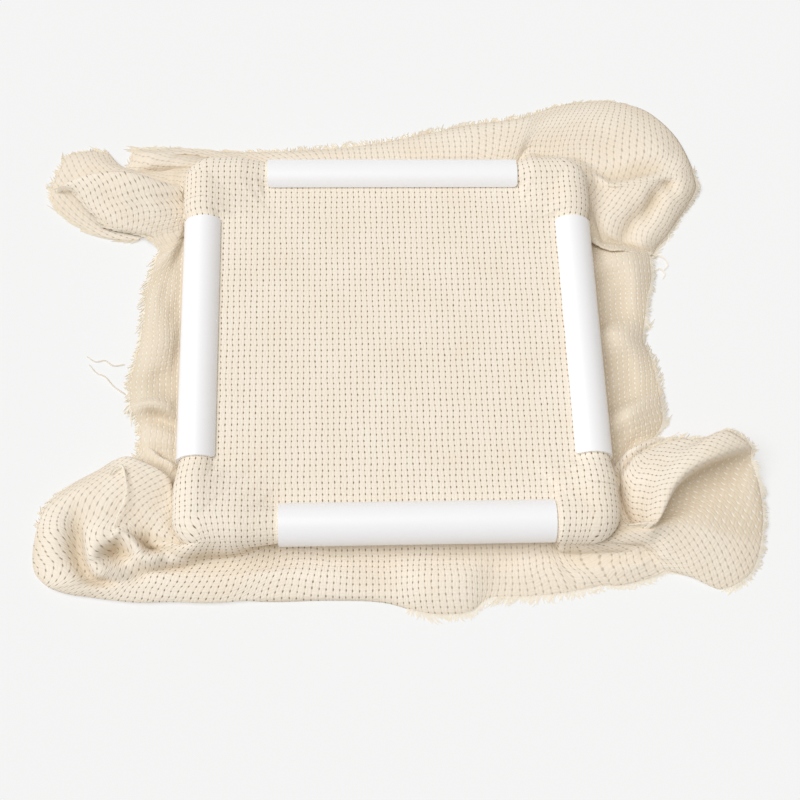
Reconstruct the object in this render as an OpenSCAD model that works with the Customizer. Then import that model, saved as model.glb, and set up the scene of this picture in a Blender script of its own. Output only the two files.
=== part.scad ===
// Square embroidery frame: four plastic tubes joined by four elbows, a square of open-weave cloth
// stretched over them, and four split sleeves pressed on over cloth and tube to hold it taut.
// The surplus cloth lies round the frame in loose folds. Millimetres, +Z up, table at Z = 0.

/* [Frame] */
// Outer width of the square that the four elbows make
frame_outer = 279.4; // [250:0.1:330]
// Air between the clamps and the cloth that lies on the table under them
floor_gap = 1; // [0.8:0.1:3]

/* [Tubes] */
// Outer diameter of the tubes
tube_od = 21.3; // [19:0.1:23]
// Wall of the tubes
tube_wall = 2.75; // [1.5:0.05:4]
// Play of each tube end before it meets the stop in its socket
tube_end_gap = 0.2; // [0.1:0.1:1]

/* [Elbows] */
// Wall round the elbow's sockets
elbow_wall = 3.3; // [2:0.1:4]
// Radial running gap between tube and socket
socket_gap = 0.05; // [0.02:0.01:0.09]
// From the corner where the tube axes cross to the open face of a socket
elbow_leg = 23.5; // [20:0.1:26]
// Depth of a socket
socket_depth = 12; // [8:0.1:12.5]
// Radius of the bend's centre line
bend_radius = 5; // [3:0.1:9]

/* [Clamps] */
// Length of each clamp
clamp_length = 173; // [140:0.5:198]
// Wall of the clamps
clamp_wall = 1.9; // [1.2:0.1:2.6]
// Angle that a clamp wraps round the tube
clamp_wrap = 200; // [190:1:204]
// Lean of the clamp's middle, outwards from straight up
clamp_lean = 45; // [38:1:50]
// Radius of the rounded corners of a clamp's lips
clamp_corner = 3; // [1:0.5:6]
// Gap between the wrapped cloth and the inside of a clamp
clamp_gap = 0.35; // [0.2:0.05:0.8]
// How far the front clamp has slid to the right from the middle, as a share of its free room
clamp_slid_front = 0.76; // [-0.76:0.01:0.76]
// The right clamp, to the back
clamp_slid_right = 0.13; // [-0.76:0.01:0.76]
// The back clamp, to the right
clamp_slid_back = 0.22; // [-0.76:0.01:0.76]
// The left clamp, to the back
clamp_slid_left = 0.19; // [-0.76:0.01:0.76]

/* [Cloth] */
// Thickness of the loose cloth
cloth_thick = 1.1; // [0.8:0.1:1.6]
// Thickness of the cloth where a clamp squeezes it
cloth_pressed = 0.6; // [0.4:0.05:0.8]
// Gap between a tube and the cloth wrapped round it
wrap_gap = 0.4; // [0.3:0.05:0.8]
// Gap between an elbow and the cloth over it
elbow_cloth_gap = 0.6; // [0.5:0.05:1]
// Width of the flat panel's margin inside the tube axes
panel_margin = 20; // [18:0.5:28]
// Height of the stretched panel's middle over the tube axes
panel_rise = 6.4; // [5.5:0.1:6.6]
// Depth that the folds lying on the table are cut flat
floor_cut = 0.5; // [0.3:0.1:0.6]

/* [Hidden] */
$fn = 96;
tube_r = tube_od / 2;
bore_r = tube_r - tube_wall;
socket_r = tube_r + socket_gap;
elbow_r = socket_r + elbow_wall;
wrap_in = tube_r + wrap_gap;
wrap_r = wrap_in + cloth_pressed / 2;
over_r = elbow_r + elbow_cloth_gap + cloth_thick / 2;
clamp_in = wrap_in + cloth_pressed + clamp_gap;
clamp_r = clamp_in + clamp_wall;
// Half the distance between opposite tube axes, and their height
half_axis = frame_outer / 2 - elbow_r;
axis_h = clamp_r + cloth_thick + floor_gap;
tube_end = elbow_leg - socket_depth + tube_end_gap;
tube_length = 2 * (half_axis - tube_end);
// Free room between a centred clamp's end and the elbow, and the part of it that the wrapped cloth
// keeps clear of both before it rises from the tube over the elbow
free_room = half_axis - elbow_leg - clamp_length / 2;
end_room = 0.025 * free_room;
half_clamp = clamp_length / 2 + end_room;
// Clamp places along their sides, in the order front, right, back, left
shifts = free_room * [clamp_slid_front, clamp_slid_right, -clamp_slid_back, -clamp_slid_left];
panel_half = half_axis - panel_margin;
lay_h = cloth_thick / 2 - floor_cut;

// Where the cloth leaves the tube inside and outside, from straight up and inwards positive
wrap_from = clamp_wrap / 2 - clamp_lean;
wrap_to = -152;
over_from = 12;
over_to = -107;
wrap_steps = 11;
turn_steps = 4;

// The folds, chosen by hand. Each row is a place along the side and five points of the loose
// cloth there, from the frame to the hem: along the side, out from the tube axis, and the height
// of its underside. Places -1 to 1 lie in the clamp, 1 to 1.2 between it and the elbow, 1.2 to 2
// on the elbow's leg and 2 to 2.5 round its bend. The points start from the place itself in the
// clamp, else from the corner.
front_folds = [
  [-2.5, [[-20, 17, 2], [-34, 13, 14], [-60, 8, 5], [-88, 12, 10], [-101, 12, 1]]],
  [-2.25, [[-15, 21, 3], [-32, 24, 11], [-56, 24, 2], [-82, 26, 8], [-95, 29, 0]]],
  [-2, [[-1, 19, 3], [-14, 25, 6], [-40, 29, 3], [-71, 33, 7], [-81, 36, 0]]],
  [-1.2, [[14, 17, 2], [4, 26, 1], [-24, 34, 6], [-60, 39, 6], [-66, 42, 0]]],
  [-1.1, [[36, 17, 1], [32, 24, 1], [22, 34, 6], [4, 42, 5], [2, 45, 0]]],
  [-1, [[0, 15, 0], [-1, 22, 2], [-4, 30, 6], [-8, 42, 4], [-8, 45, 0]]],
  [-0.6, [[0, 15, 0], [0, 23, 3], [-1, 32, 6], [-2, 42, 4], [-2, 45, 0]]],
  [-0.25, [[0, 15, 0], [0, 22, 1], [0, 30, 3], [0, 42, 4], [0, 47, 0]]],
  [0.09, [[0, 15, 0], [-1, 22, 2], [-2, 32, 6], [-2, 44, 5], [0, 55, 0]]],
  [0.35, [[0, 15, 0], [0, 22, 2], [1, 32, 5], [1, 44, 4], [2, 54, 0]]],
  [0.55, [[0, 15, 0], [0, 22, 0], [-1, 30, 1], [-2, 39, 1], [-4, 46, 0]]],
  [0.8, [[0, 15, 0], [0, 21, 1], [0, 29, 2], [1, 37, 1], [2, 45, 0]]],
  [1, [[0, 15, 0], [1, 21, 1], [2, 27, 2], [5, 34, 2], [8, 43, 0]]],
  [1.1, [[-25, 16, 0], [-24, 21, 1], [-22, 27, 2], [-17, 34, 2], [-14, 42, 0]]],
  [1.2, [[-23, 17, 1], [-21, 21, 1], [-18, 27, 2], [-12, 33, 3], [-9, 41, 0]]],
  [1.45, [[-16, 18, 1], [-15, 22, 1], [-11, 28, 3], [-4, 34, 3], [1, 39, 0]]],
  [2, [[1, 18, 3], [4, 21, 2], [10, 24, 4], [18, 28, 4], [24, 34, 0]]],
  [2.25, [[10, 18, 4], [16, 20, 4], [25, 23, 7], [39, 30, 6], [51, 38, 0]]]
];
right_folds = [
  [-2.5, [[-15, 17, 4], [-17, 26, 6], [-20, 39, 10], [-31, 59, 8], [-42, 78, 0]]],
  [-2.4, [[-12, 19, 6], [-12, 30, 11], [-12, 50, 12], [-24, 84, 8], [-34, 102, 0]]],
  [-2.28, [[-6, 21, 7], [-4, 32, 14], [4, 52, 19], [4, 86, 15], [0, 110, 1]]],
  [-2.17, [[1, 22, 7], [6, 34, 16], [18, 54, 25], [31, 82, 25], [38, 109, 5]]],
  [-2.09, [[8, 21, 5], [14, 30, 9], [26, 46, 23], [40, 70, 31], [52, 93, 32]]],
  [-2, [[16, 20, 2], [22, 24, 3], [31, 32, 10], [40, 46, 19], [49, 60, 23]]],
  [-1.2, [[26, 19, 1], [29, 22, 1], [33, 26, 4], [36, 29, 7], [39, 30, 8]]],
  [-1.1, [[33, 18, 0], [36, 23, 0], [40, 30, 0], [44, 36, 0], [48, 41, 0]]],
  [-1, [[0, 16, 0], [5, 22, 0], [10, 30, 2], [15, 39, 3], [20, 46, 1]]],
  [-0.6, [[0, 16, 0], [1, 22, 2], [2, 30, 7], [4, 42, 7], [6, 51, 1]]],
  [-0.31, [[-1, 16, 0], [-1, 21, 1], [0, 28, 3], [1, 38, 4], [3, 46, 1]]],
  [-0.08, [[-1, 16, 0], [-1, 19, 2], [1, 23, 7], [5, 29, 9], [7, 35, 3]]],
  [0.15, [[-1, 16, 0], [0, 21, 3], [2, 28, 8], [3, 38, 8], [3, 44, 2]]],
  [0.44, [[0, 16, 0], [1, 22, 1], [3, 32, 3], [7, 46, 4], [9, 58, 1]]],
  [0.69, [[0, 16, 0], [1, 22, 2], [3, 32, 7], [5, 44, 8], [6, 54, 1]]],
  [1, [[-2, 16, 0], [-4, 22, 1], [-7, 32, 2], [-9, 44, 2], [-11, 54, 0]]],
  [1.1, [[-31, 18, 1], [-34, 24, 3], [-38, 35, 6], [-43, 47, 6], [-46, 60, 1]]],
  [1.2, [[-25, 18, 2], [-29, 26, 4], [-34, 38, 8], [-40, 50, 8], [-44, 64, 2]]],
  [2.09, [[-12, 20, 5], [-15, 32, 9], [-20, 48, 11], [-28, 64, 9], [-33, 81, 2]]],
  [2.28, [[-5, 22, 7], [-8, 36, 12], [-12, 54, 11], [-18, 71, 10], [-24, 86, 2]]]
];
back_folds = [
  [-2.5, [[-22, 2, 8], [-36, -2, 14], [-58, -6, 8], [-78, -12, 11], [-92, -18, 2]]],
  [-2.38, [[-21, 15, 7], [-36, 7, 11], [-62, 5, 16], [-84, 4, 11], [-98, 2, 4]]],
  [-2.24, [[-15, 21, 7], [-30, 26, 11], [-54, 24, 19], [-80, 22, 16], [-96, 20, 5]]],
  [-2.08, [[0, 21, 5], [-8, 32, 9], [-26, 46, 16], [-50, 60, 15], [-60, 66, 4]]],
  [-1.2, [[20, 20, 3], [16, 30, 7], [6, 46, 12], [-6, 62, 9], [-12, 71, 1]]],
  [-1.1, [[27, 18, 1], [24, 27, 4], [16, 42, 10], [7, 58, 8], [2, 67, 0]]],
  [-1, [[0, 16, 0], [-3, 24, 3], [-8, 38, 8], [-14, 54, 7], [-17, 64, 0]]],
  [-0.65, [[0, 16, 0], [-1, 22, 2], [-2, 32, 6], [-2, 46, 6], [-2, 56, 0]]],
  [-0.31, [[0, 16, 0], [0, 21, 1], [0, 28, 4], [1, 40, 4], [1, 48, 0]]],
  [0.04, [[0, 16, 0], [0, 21, 1], [0, 26, 3], [1, 34, 3], [1, 41, 0]]],
  [0.39, [[0, 16, 0], [1, 20, 1], [2, 24, 3], [3, 30, 3], [4, 36, 0]]],
  [0.73, [[0, 16, 0], [2, 20, 1], [6, 24, 3], [12, 29, 3], [16, 33, 0]]],
  [1, [[1, 16, 0], [6, 20, 1], [14, 24, 3], [26, 29, 3], [34, 33, 0]]],
  [1.1, [[-29, 17, 1], [-24, 21, 1], [-13, 25, 3], [2, 31, 4], [12, 35, 0]]],
  [1.2, [[-20, 18, 2], [-14, 22, 2], [0, 26, 4], [20, 32, 4], [34, 36, 0]]],
  [2.08, [[1, 20, 3], [12, 23, 2], [32, 26, 4], [60, 32, 4], [78, 36, 0]]],
  [2.28, [[11, 19, 4], [24, 21, 3], [48, 24, 4], [76, 28, 6], [92, 31, 0]]]
];
left_folds = [
  [-2.5, [[-15, 20, 4], [-16, 32, 4], [-20, 58, 8], [-20, 88, 8], [-17, 104, 1]]],
  [-2.3, [[-7, 22, 11], [-8, 38, 21], [-8, 60, 26], [-2, 84, 19], [2, 100, 2]]],
  [-2.16, [[1, 23, 13], [4, 38, 25], [10, 56, 30], [16, 76, 23], [24, 92, 2]]],
  [-2.06, [[13, 21, 11], [18, 32, 23], [23, 44, 26], [32, 60, 19], [38, 70, 3]]],
  [-1.2, [[26, 19, 3], [30, 24, 7], [34, 30, 11], [38, 37, 9], [44, 44, 3]]],
  [-1.1, [[32, 18, 1], [36, 22, 4], [39, 28, 6], [44, 35, 6], [49, 43, 1]]],
  [-1, [[2, 15, 0], [4, 20, 1], [8, 26, 3], [12, 34, 4], [16, 43, 0]]],
  [-0.64, [[0, 15, 0], [1, 20, 2], [4, 27, 6], [6, 36, 5], [8, 45, 0]]],
  [-0.31, [[0, 15, 0], [1, 20, 1], [4, 28, 3], [6, 37, 3], [8, 46, 0]]],
  [-0.02, [[0, 15, 0], [1, 21, 2], [3, 30, 5], [5, 39, 5], [7, 47, 0]]],
  [0.27, [[0, 15, 0], [1, 21, 2], [2, 30, 7], [4, 40, 7], [6, 48, 1]]],
  [0.52, [[-1, 15, 0], [0, 20, 1], [2, 26, 2], [4, 34, 2], [5, 42, 0]]],
  [0.75, [[0, 15, 0], [0, 20, 1], [0, 26, 3], [1, 33, 3], [2, 39, 0]]],
  [1, [[-4, 15, 0], [-5, 19, 0], [-6, 23, 0], [-6, 27, 0], [-6, 32, 0]]],
  [1.1, [[-37, 17, 1], [-39, 20, 2], [-41, 26, 3], [-43, 32, 4], [-44, 38, 3]]],
  [1.2, [[-30, 18, 2], [-34, 22, 5], [-40, 30, 8], [-45, 38, 9], [-48, 47, 7]]],
  [1.7, [[-16, 19, 3], [-22, 26, 5], [-28, 38, 8], [-36, 54, 8], [-38, 68, 3]]],
  [2.09, [[2, 20, 5], [-8, 34, 7], [-15, 50, 10], [-20, 68, 9], [-20, 84, 2]]],
  [2.31, [[10, 20, 2], [5, 34, 10], [1, 59, 4], [-2, 86, 9], [-4, 96, 1]]]
];
folds = [front_folds, right_folds, back_folds, left_folds];

// Turns a point of a side, given along it, out from its tube axis and up, into the frame's own
function from_side(s, p) =
  let (c = cos(90 * s), k = sin(90 * s), x = p[0], y = -half_axis - p[1])
  [x * c - y * k, x * k + y * c, p[2]];

function mix(a, b, f) = a + (b - a) * f;
function place_sign(t) = t < 0 ? -1 : 1;
function place_bend(t) = max(abs(t) - 2, 0) * 90;

// How far the cloth has risen from the tube onto the elbow at place t
function rise(t) = min(max(abs(t) - 1, 0) / 0.2, 1);

// Distance along side s of place t on the tube axis
function place_along(s, t) =
  let (
    g = place_sign(t),
    e = shifts[s] + g * half_clamp,
    edge = g * (half_axis - elbow_leg - end_room),
    b = g * (half_axis - bend_radius)
  )
  abs(t) <= 1 ? shifts[s] + t * half_clamp
  : abs(t) <= 1.2 ? mix(e, edge, rise(t))
  : abs(t) <= 2 ? mix(edge, b, (abs(t) - 1.2) / 0.8)
  : b + g * bend_radius * sin(place_bend(t));

// Distance along side s where the cloth of place t leaves the flat panel
function panel_along(s, t) =
  let (g = place_sign(t))
  abs(t) <= 1 ? place_along(s, t)
  : mix(shifts[s] + g * half_clamp, g * panel_half, (abs(t) - 1) / 1.5);

// A point at distance r from the tube axis and angle a, in the plane across the tube at place t
function round_tube(s, t, r, a) =
  let (b = place_bend(t), o = -r * sin(a))
  [
    place_along(s, t) + place_sign(t) * o * sin(b),
    o * cos(b) - bend_radius * (1 - cos(b)),
    axis_h + r * cos(a)
  ];

// Cloth from the panel down to the first loose point q: round the tube and folded back along the
// table under a clamp, and hanging from the elbow's outer side past it
function near_cloth(s, t, q) =
  let (
    f = rise(t),
    r = mix(wrap_r, over_r, f),
    a = mix(wrap_from, over_from, f),
    b = mix(wrap_to, over_to, f),
    last = round_tube(s, t, r, b),
    turn_r = (last[2] - lay_h) / 2
  )
  concat(
    [for (i = [0:wrap_steps]) round_tube(s, t, r, mix(a, b, i / wrap_steps))],
    [for (i = [1:turn_steps])
      let (c = 180 * i / turn_steps)
      mix(
        last - [0, turn_r * sin(c), turn_r * (1 - cos(c))],
        mix(last, q, i / (turn_steps + 1)),
        f
      )]
  );

// Point halfway between b and c on the smooth curve through a, b, c and d
function halfway(a, b, c, d) = (9 * (b + c) - a - d) / 16;

// One strip of cloth across side s, from the panel to the hem
function strip(s, row) =
  let (
    t = row[0],
    ref = abs(t) <= 1 ? place_along(s, t) : place_sign(t) * half_axis,
    q = [for (p = row[1]) [ref + p[0], p[1], lay_h + p[2]]],
    near = near_cloth(s, t, q[0]),
    n = len(near),
    c = concat([near[n - 2], near[n - 1]], q, [2 * q[4] - q[3]]),
    free = [for (i = [2:6]) each [halfway(c[i - 2], c[i - 1], c[i], c[i + 1]), c[i]]]
  )
  [for (p = concat([[panel_along(s, t), -panel_margin, axis_h + panel_rise]], near, free))
    from_side(s, p)];

strips = [for (s = [0:3]) each [for (row = folds[s]) strip(s, row)]];
places = [for (s = [0:3]) each [for (row = folds[s]) row[0]]];
n_strips = len(strips);
n_across = len(strips[0]);
first_strip = [
  0,
  len(front_folds),
  len(front_folds) + len(right_folds),
  len(front_folds) + len(right_folds) + len(back_folds),
  n_strips
];

function unit(v) = v / norm(v);

// Direction out of the cloth's outer face at point k of strip i
function face_out(i, k) =
  k == 0 ? [0, 0, 1]
  : let (
    before = strips[(i + n_strips - 1) % n_strips][k],
    after = strips[(i + 1) % n_strips][k],
    a = strips[i][k - 1],
    b = strips[i][min(k + 1, n_across - 1)]
  )
  unit(cross(b - a, after - before));

function half_thick(i, k) =
  (k > 0 && k < wrap_steps + 3 && abs(places[i]) <= 1 ? cloth_pressed : cloth_thick) / 2;

function on_table(p) = [p[0], p[1], max(p[2], 0)];

outer_face = [for (i = [0:n_strips - 1]) [for (k = [0:n_across - 1])
  on_table(strips[i][k] + face_out(i, k) * half_thick(i, k))]];
inner_face = [for (i = [0:n_strips - 1]) [for (k = [0:n_across - 1])
  on_table(strips[i][k] - face_out(i, k) * half_thick(i, k))]];

// The middle of everything seen from above, which becomes the origin
all_x = [for (f = concat(outer_face, inner_face)) for (p = f) p[0]];
all_y = [for (f = concat(outer_face, inner_face)) for (p = f) p[1]];
middle = [(min(all_x) + max(all_x)) / 2, (min(all_y) + max(all_y)) / 2, 0];

// Puts a piece drawn for the front side on side s
module on_side(s) translate(-middle) rotate([0, 0, 90 * s]) children();

// Lays a piece drawn upright about Z along the front tube's axis, its X facing inwards
module along_tube(x) translate([x, -half_axis, axis_h]) rotate([90, 0, 90]) children();

module tube(s) {
  color("white") on_side(s) along_tube(0) difference() {
    cylinder(h = tube_length, r = tube_r, center = true);
    cylinder(h = tube_length + 2, r = bore_r, center = true);
  }
}

// Quarter of a bend with its centre at the origin, from its left end to its front end
module bend(r) {
  rotate_extrude(angle = 90, start = 180) intersection() {
    translate([bend_radius, 0]) circle(r = r);
    translate([0, -r]) square([bend_radius + r, 2 * r]);
  }
}

// Straight piece of both legs, from distance a to distance b off the corner
module legs(r, a, b) {
  translate([a, 0, 0]) rotate([0, 90, 0]) cylinder(h = b - a, r = r);
  translate([0, a, 0]) rotate([-90, 0, 0]) cylinder(h = b - a, r = r);
}

module elbow(s) {
  stop = elbow_leg - socket_depth;
  color("white") on_side(s) translate([-half_axis, -half_axis, axis_h]) difference() {
    union() {
      translate([bend_radius, bend_radius, 0]) bend(elbow_r);
      legs(elbow_r, bend_radius, elbow_leg);
    }
    translate([bend_radius, bend_radius, 0]) bend(bore_r);
    legs(bore_r, bend_radius, elbow_leg);
    legs(socket_r, stop, elbow_leg + 1);
  }
}

// What a lip loses to its rounded corner: the lip's edge is the plane Y = 0, and the rounding
// crosses both edges a little short of tangent
module lip_waste() {
  end = clamp_length / 2;
  difference() {
    translate([clamp_in - 2, -clamp_corner, end - clamp_corner])
      cube([clamp_wall + 4, 2 * clamp_corner, clamp_corner + 1]);
    translate([clamp_in - 3, clamp_corner, end - clamp_corner])
      rotate([0, 90, 0]) cylinder(h = clamp_wall + 6, r = 1.02 * clamp_corner);
  }
}

module clamp(s) {
  from = 90 + clamp_lean - clamp_wrap / 2;
  color("ghostwhite") on_side(s) along_tube(shifts[s]) difference() {
    rotate_extrude(angle = clamp_wrap, start = from)
      translate([clamp_in, -clamp_length / 2]) square([clamp_wall, clamp_length]);
    for (m = [0, 1]) mirror([0, 0, m]) {
      rotate([0, 0, from]) lip_waste();
      rotate([0, 0, from + clamp_wrap]) mirror([0, 1, 0]) lip_waste();
    }
  }
}

module cloth_panel() {
  color("antiquewhite") translate(-middle)
    translate([0, 0, axis_h + panel_rise - cloth_thick / 2]) linear_extrude(cloth_thick)
      polygon([for (f = strips) [f[0][0], f[0][1]]]);
}

// The cloth of one side: two faces a thickness apart, closed by walls all round
module cloth_side(s) {
  cols = first_strip[s + 1] - first_strip[s] + 1;
  ids = [for (i = [0:cols - 1]) (first_strip[s] + i) % n_strips];
  size = cols * n_across;
  function at(i, k) = i * n_across + k;
  pts = concat([for (i = ids) each outer_face[i]], [for (i = ids) each inner_face[i]]);
  sheets = [for (i = [0:cols - 2], k = [0:n_across - 2]) each [
    [at(i, k), at(i + 1, k), at(i + 1, k + 1)],
    [at(i, k), at(i + 1, k + 1), at(i, k + 1)],
    [size + at(i, k), size + at(i + 1, k + 1), size + at(i + 1, k)],
    [size + at(i, k), size + at(i, k + 1), size + at(i + 1, k + 1)]
  ]];
  rims = [for (i = [0:cols - 2]) each let (m = n_across - 1) [
    [at(i, 0), size + at(i + 1, 0), at(i + 1, 0)],
    [at(i, 0), size + at(i, 0), size + at(i + 1, 0)],
    [at(i, m), at(i + 1, m), size + at(i + 1, m)],
    [at(i, m), size + at(i + 1, m), size + at(i, m)]
  ]];
  ends = [for (k = [0:n_across - 2]) each let (m = cols - 1) [
    [at(0, k), at(0, k + 1), size + at(0, k + 1)],
    [at(0, k), size + at(0, k + 1), size + at(0, k)],
    [at(m, k), size + at(m, k + 1), at(m, k + 1)],
    [at(m, k), size + at(m, k), size + at(m, k + 1)]
  ]];
  color("antiquewhite") translate(-middle)
    polyhedron(pts, concat(sheets, rims, ends));
}

tube(0);  // tube_front
tube(1);  // tube_right
tube(2);  // tube_back
tube(3);  // tube_left
elbow(0);  // elbow_front_left
elbow(1);  // elbow_front_right
elbow(2);  // elbow_back_right
elbow(3);  // elbow_back_left
clamp(0);  // clamp_front
clamp(1);  // clamp_right
clamp(2);  // clamp_back
clamp(3);  // clamp_left
cloth_panel();
cloth_side(0);  // cloth_front
cloth_side(1);  // cloth_right
cloth_side(2);  // cloth_back
cloth_side(3);  // cloth_left
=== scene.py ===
# Square embroidery frame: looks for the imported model. Lengths in the settings are millimetres
# from the middle of the frame, with the table at height 0; meshes are in metres.
import math

import bpy
import numpy as np
from mathutils import Euler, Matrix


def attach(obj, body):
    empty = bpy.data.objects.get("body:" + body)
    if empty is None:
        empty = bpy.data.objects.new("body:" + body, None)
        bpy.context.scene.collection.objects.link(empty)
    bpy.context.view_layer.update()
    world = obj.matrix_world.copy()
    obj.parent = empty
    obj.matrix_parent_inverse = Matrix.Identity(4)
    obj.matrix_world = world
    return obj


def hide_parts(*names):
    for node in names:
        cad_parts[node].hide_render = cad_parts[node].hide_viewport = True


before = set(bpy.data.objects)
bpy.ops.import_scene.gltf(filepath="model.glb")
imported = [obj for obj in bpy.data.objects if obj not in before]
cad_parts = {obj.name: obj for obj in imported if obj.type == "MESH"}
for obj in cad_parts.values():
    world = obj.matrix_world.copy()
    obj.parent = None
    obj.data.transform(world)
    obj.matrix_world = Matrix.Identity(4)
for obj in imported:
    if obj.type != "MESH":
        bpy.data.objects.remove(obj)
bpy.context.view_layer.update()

# the frame's middle in the model's own coordinates, and the sizes of what the cloth lies on
layout = {
    "middle": (3.00844, 8.07612),
    "halfAxis": 125.7,
    "axisHeight": 16.0,
    "elbowLeg": 23.5,
    "bendRadius": 5.0,
    "clampLength": 173.0,
    "clampShift": [11.93, 2.04, -3.45, -2.98],
    "panelHalf": 105.7,
    "panelHeight": 22.4,
}

# pixels is the width and height of the photograph
cameraView = {
    "place": (-43.55, -377.2, 806.52),
    "turn": (23.025, -2.673, -1.786),
    "lens": 59.4,
    "sensor": 36,
    "farthest": 20,
    "pixels": 800,
}


# frame-centred millimetres to the model's metres
def toModel(p):
    p = np.asarray(p, float).copy()
    p[..., 0] -= layout["middle"][0]
    p[..., 1] -= layout["middle"][1]
    return p / 1000


# screen colour from 0 to 255 to the linear colour of a shader socket
def linear(r, g, b):
    c = np.array([r, g, b]) / 255
    c = np.where(c <= 0.04045, c / 12.92, ((c + 0.055) / 1.055) ** 2.4)
    return (float(c[0]), float(c[1]), float(c[2]), 1.0)


def addObject(name, data):
    obj = bpy.data.objects.new(name, data)
    bpy.context.scene.collection.objects.link(obj)
    return obj


def addMaterial(name):
    mat = bpy.data.materials.new(name)
    mat.use_nodes = True
    return mat, mat.node_tree, mat.node_tree.nodes["Principled BSDF"]


def addNoise(tree, place, scale, detail):
    node = tree.nodes.new("ShaderNodeTexNoise")
    node.inputs["Scale"].default_value = scale
    node.inputs["Detail"].default_value = detail
    tree.links.new(place, node.inputs["Vector"])
    return node.outputs


def addBump(tree, bsdf, height, strength, depth):
    node = tree.nodes.new("ShaderNodeBump")
    node.inputs["Strength"].default_value = strength
    node.inputs["Distance"].default_value = depth
    tree.links.new(height, node.inputs["Height"])
    tree.links.new(node.outputs["Normal"], bsdf.inputs["Normal"])


def cameraTurn(s):
    return Euler([math.radians(a) for a in s["turn"]])


def makeCamera(s):
    data = bpy.data.cameras.new("camera")
    data.lens = s["lens"]
    data.sensor_width = s["sensor"]
    data.clip_end = s["farthest"]
    obj = addObject("camera", data)
    obj.location = toModel(s["place"])
    obj.rotation_euler = cameraTurn(s)
    bpy.context.scene.camera = obj


# points picked in the photograph, each a pixel (across, down) and a height, to millimetres: the
# ray from the camera through the pixel is followed to that height
def fromPixels(picks, above, s):
    across, down, height = np.array(picks, float).T
    middle, focal = s["pixels"] / 2, s["lens"] / s["sensor"] * s["pixels"]
    ray = np.stack([(across - middle) / focal, (middle - down) / focal, -np.ones(len(picks))], 1)
    ray = ray @ np.array(cameraTurn(s).to_matrix()).T
    place = np.array(s["place"])
    return place + ray * ((height + above - place[2]) / ray[:, 2])[:, None]


lightLevels = {
    "world": (0.37, (1.0, 0.94, 0.86)),
    "backdrop": 0.913,
    "key": {"from": (-0.44, 0.0, 0.9), "angle": 50, "strength": 2.13, "colour": (0.98, 1.0, 1.03)},
}

table = {
    "half": 3.0,
    "colour": (184, 184, 184),
    "rough": 0.9,
    "glow": ((0.985, 0.993, 1.0), 0.452),
}


# a soft sky for the object, a plain brighter one for the camera, and one wide sun that points at
# the middle of the frame
def makeLights(s):
    world = bpy.data.worlds.new("world")
    bpy.context.scene.world = world
    world.use_nodes = True
    nodes, links = world.node_tree.nodes, world.node_tree.links
    back = nodes["Background"]
    back.inputs["Color"].default_value = (*s["world"][1], 1)
    back.inputs["Strength"].default_value = s["world"][0]
    far = nodes.new("ShaderNodeBackground")
    far.inputs["Strength"].default_value = s["backdrop"]
    path = nodes.new("ShaderNodeLightPath")
    choice = nodes.new("ShaderNodeMixShader")
    links.new(path.outputs["Is Camera Ray"], choice.inputs[0])
    links.new(back.outputs[0], choice.inputs[1])
    links.new(far.outputs[0], choice.inputs[2])
    links.new(choice.outputs[0], nodes["World Output"].inputs["Surface"])
    lamp = bpy.data.lights.new("key", "SUN")
    lamp.angle = math.radians(s["key"]["angle"])
    lamp.energy = s["key"]["strength"]
    lamp.color = s["key"]["colour"]
    obj = addObject("key", lamp)
    obj.location = s["key"]["from"]
    obj.rotation_euler = (-obj.location).to_track_quat("-Z", "Y").to_euler()


# the table gives off part of its own light, so that shadows on it stay faint
def makeTable(s):
    h = s["half"]
    mesh = bpy.data.meshes.new("table")
    mesh.from_pydata([(-h, -h, 0), (h, -h, 0), (h, h, 0), (-h, h, 0)], [], [(0, 1, 2, 3)])
    mat, _, bsdf = addMaterial("tableTop")
    bsdf.inputs["Base Color"].default_value = linear(*s["colour"])
    bsdf.inputs["Roughness"].default_value = s["rough"]
    bsdf.inputs["Specular IOR Level"].default_value = 0.0
    bsdf.inputs["Emission Color"].default_value = (*s["glow"][0], 1)
    bsdf.inputs["Emission Strength"].default_value = s["glow"][1]
    mesh.materials.append(mat)
    addObject("table", mesh)


makeCamera(cameraView)
makeLights(lightLevels)
makeTable(table)
bpy.context.scene.view_settings.view_transform = "Standard"
print("camera, light and table ready")

plastic = {
    "clamp": {"colour": (253, 253, 255), "rough": 0.36, "grain": 0.15},
    "tube": {"colour": (232, 232, 233), "rough": 0.38, "grain": 0.2},
    "elbow": {"colour": (230, 230, 231), "rough": 0.42, "grain": 0.3},
}
plasticGrain = {"noise": (260, 4), "depth": 0.00006, "smoother": 0.06, "rougher": 0.08}


# plain plastic with a fine grain, which also makes it a little rougher and smoother in places
def makePlastic(name, s, grain):
    mat, tree, bsdf = addMaterial(name + "Plastic")
    bsdf.inputs["Base Color"].default_value = linear(*s["colour"])
    bsdf.inputs["IOR"].default_value = 1.5
    coord = tree.nodes.new("ShaderNodeTexCoord")
    noise = addNoise(tree, coord.outputs["Object"], *grain["noise"])
    ramp = tree.nodes.new("ShaderNodeMapRange")
    ramp.inputs["To Min"].default_value = s["rough"] - grain["smoother"]
    ramp.inputs["To Max"].default_value = s["rough"] + grain["rougher"]
    tree.links.new(noise["Fac"], ramp.inputs["Value"])
    tree.links.new(ramp.outputs["Result"], bsdf.inputs["Roughness"])
    addBump(tree, bsdf, noise["Fac"], s["grain"], grain["depth"])
    return mat


plasticMaterials = {name: makePlastic(name, s, plasticGrain) for name, s in plastic.items()}
for nodeName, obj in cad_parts.items():
    kind = nodeName.split("_")[0]
    if kind in plasticMaterials:
        obj.data.materials.clear()
        obj.data.materials.append(plasticMaterials[kind])
print("plastic pieces finished")

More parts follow.
